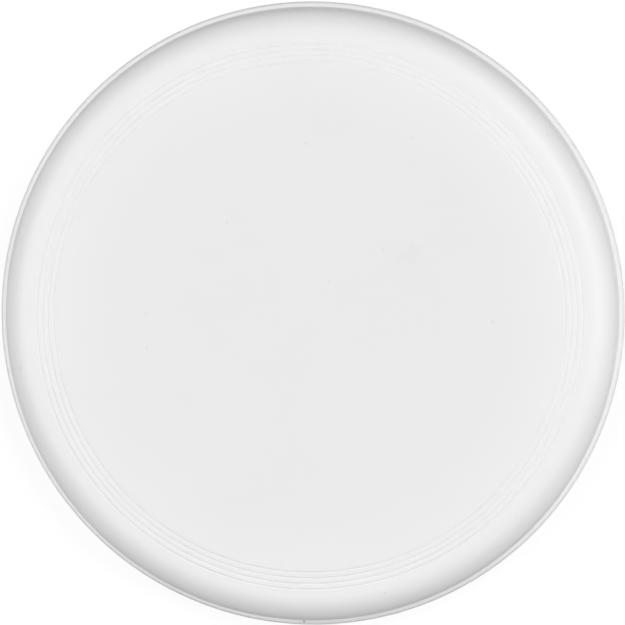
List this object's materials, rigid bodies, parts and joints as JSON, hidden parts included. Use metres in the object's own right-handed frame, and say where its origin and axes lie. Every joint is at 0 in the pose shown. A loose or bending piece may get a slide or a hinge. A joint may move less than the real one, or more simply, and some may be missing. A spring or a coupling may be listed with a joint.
{
  "type": "flying disc",
  "caption": "Shallow round moulded throwing disc with a flat flight plate, fine concentric flight rings near its edge and a deep drafted rim that ends in a thin lip.",
  "frame": {"origin": "centre of the rim's base, on the plane that the disc rests on", "axes": "+Z is the spin axis and points up out of the flight plate; the disc is a solid of revolution, so +X and +Y are any two perpendicular radii"},
  "size_m": [0.22, 0.22, 0.02],
  "materials": {
    "white_plastic": "satin moulded white polypropylene"
  },
  "bodies": {
    "root": {"disc_body": "white_plastic"}
  },
  "joints": []
}
